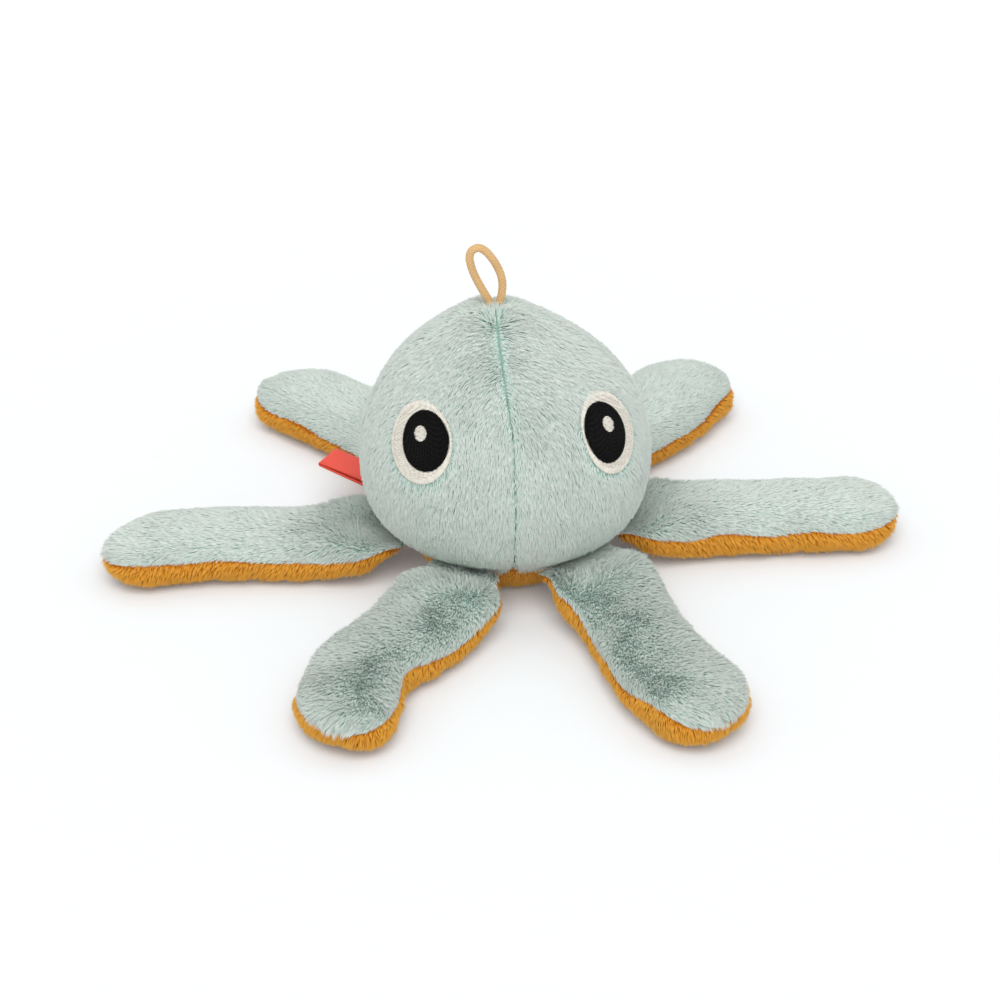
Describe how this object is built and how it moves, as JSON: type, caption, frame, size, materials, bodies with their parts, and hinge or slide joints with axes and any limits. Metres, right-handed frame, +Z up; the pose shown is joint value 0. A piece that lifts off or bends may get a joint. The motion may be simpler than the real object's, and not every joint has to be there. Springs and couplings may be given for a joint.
{
  "type": "plush jellyfish rattle toy",
  "caption": "Soft plush jellyfish rattle: a round stuffed head with sewn eyes, floppy arms round its base, a cord loop to hang it by and loose balls in a hard capsule inside.",
  "frame": {"origin": "middle of the flat underside of the base, on the table", "axes": "+Z up, the eyes look along -Y, the side arms lie along +X and -X"},
  "size_m": [0.2421, 0.2153, 0.1042],
  "materials": {
    "mint_plush": "short pile plush",
    "mustard_plush": "short pile plush",
    "fibre": "loose polyester fibre",
    "capsule_plastic": "moulded",
    "ball_plastic": "polished",
    "white_thread": "satin stitch",
    "black_thread": "satin stitch",
    "cord": "braided elastic cord",
    "ribbon": "woven ribbon"
  },
  "bodies": {
    "head": {"head_panel_front_left": "mint_plush", "head_panel_front_right": "mint_plush", "head_panel_back_left": "mint_plush", "head_panel_back_right": "mint_plush", "base_panel": "mustard_plush", "filling_upper": "fibre", "filling_lower": "fibre", "rattle_capsule_upper": "capsule_plastic", "rattle_capsule_lower": "capsule_plastic", "loop_bar_tack": "cord", "left_eye_white": "white_thread", "left_eye_pupil": "black_thread", "left_eye_glint": "white_thread", "right_eye_white": "white_thread", "right_eye_pupil": "black_thread", "right_eye_glint": "white_thread"},
    "loop": {"hanging_loop": "cord"},
    "tag": {"ribbon_tag": "ribbon"},
    "arm_front_left": {"arm_front_left_top": "mint_plush", "arm_front_left_underside": "mustard_plush", "arm_front_left_filling": "fibre"},
    "arm_front_right": {"arm_front_right_top": "mint_plush", "arm_front_right_underside": "mustard_plush", "arm_front_right_filling": "fibre"},
    "arm_right": {"arm_right_top": "mint_plush", "arm_right_underside": "mustard_plush", "arm_right_filling": "fibre"},
    "arm_back_right": {"arm_back_right_top": "mint_plush", "arm_back_right_underside": "mustard_plush", "arm_back_right_filling": "fibre"},
    "arm_back_left": {"arm_back_left_top": "mint_plush", "arm_back_left_underside": "mustard_plush", "arm_back_left_filling": "fibre"},
    "arm_left": {"arm_left_top": "mint_plush", "arm_left_underside": "mustard_plush", "arm_left_filling": "fibre"},
    "ball_1": {"rattle_ball_1": "ball_plastic"},
    "ball_2": {"rattle_ball_2": "ball_plastic"},
    "ball_3": {"rattle_ball_3": "ball_plastic"},
    "ball_4": {"rattle_ball_4": "ball_plastic"}
  },
  "joints": [
    {"name": "arm_front_left_flap", "type": "hinge", "parent": "head", "child": "arm_front_left", "pos_m": [-0.01642, -0.02963, 0.0125], "axis": [-0.8746, 0.4848, 0], "range_deg": [-70, 38]},
    {"name": "arm_front_right_flap", "type": "hinge", "parent": "head", "child": "arm_front_right", "pos_m": [0.01991, -0.0274, 0.0125], "axis": [-0.809, -0.5878, 0], "range_deg": [-70, 38]},
    {"name": "arm_right_flap", "type": "hinge", "parent": "head", "child": "arm_right", "pos_m": [0.03375, 0.00295, 0.0125], "axis": [0.0872, -0.9962, 0], "range_deg": [-70, 38]},
    {"name": "arm_back_right_flap", "type": "hinge", "parent": "head", "child": "arm_back_right", "pos_m": [0.01538, 0.03018, 0.0125], "axis": [0.891, -0.454, 0], "range_deg": [-70, 38]},
    {"name": "arm_back_left_flap", "type": "hinge", "parent": "head", "child": "arm_back_left", "pos_m": [-0.0159, 0.02991, 0.0125], "axis": [0.8829, 0.4695, 0], "range_deg": [-70, 38]},
    {"name": "arm_left_flap", "type": "hinge", "parent": "head", "child": "arm_left", "pos_m": [-0.03385, 0.00118, 0.0125], "axis": [0.0349, 0.9994, 0], "range_deg": [-70, 38]},
    {"name": "tag_flap", "type": "hinge", "parent": "head", "child": "tag", "pos_m": [-0.0282, 0.01762, 0.0125], "axis": [0.5299, 0.848, 0], "range_deg": [-45, 30], "stiffness_Nm_per_rad": 0.001},
    {"name": "loop_flop", "type": "hinge", "parent": "head", "child": "loop", "pos_m": [-0.00305, 0, 0.08558], "axis": [1, 0, 0], "range_deg": [-60, 60], "stiffness_Nm_per_rad": 0.0005},
    {"name": "ball_1_hop", "type": "slide", "parent": "head", "child": "ball_1", "axis": [0, 0, 1], "range_m": [0, 0.0197]},
    {"name": "ball_2_hop", "type": "slide", "parent": "head", "child": "ball_2", "axis": [0, 0, 1], "range_m": [0, 0.0197]},
    {"name": "ball_3_hop", "type": "slide", "parent": "head", "child": "ball_3", "axis": [0, 0, 1], "range_m": [0, 0.0197]},
    {"name": "ball_4_hop", "type": "slide", "parent": "head", "child": "ball_4", "axis": [0, 0, 1], "range_m": [0, 0.0197]}
  ]
}
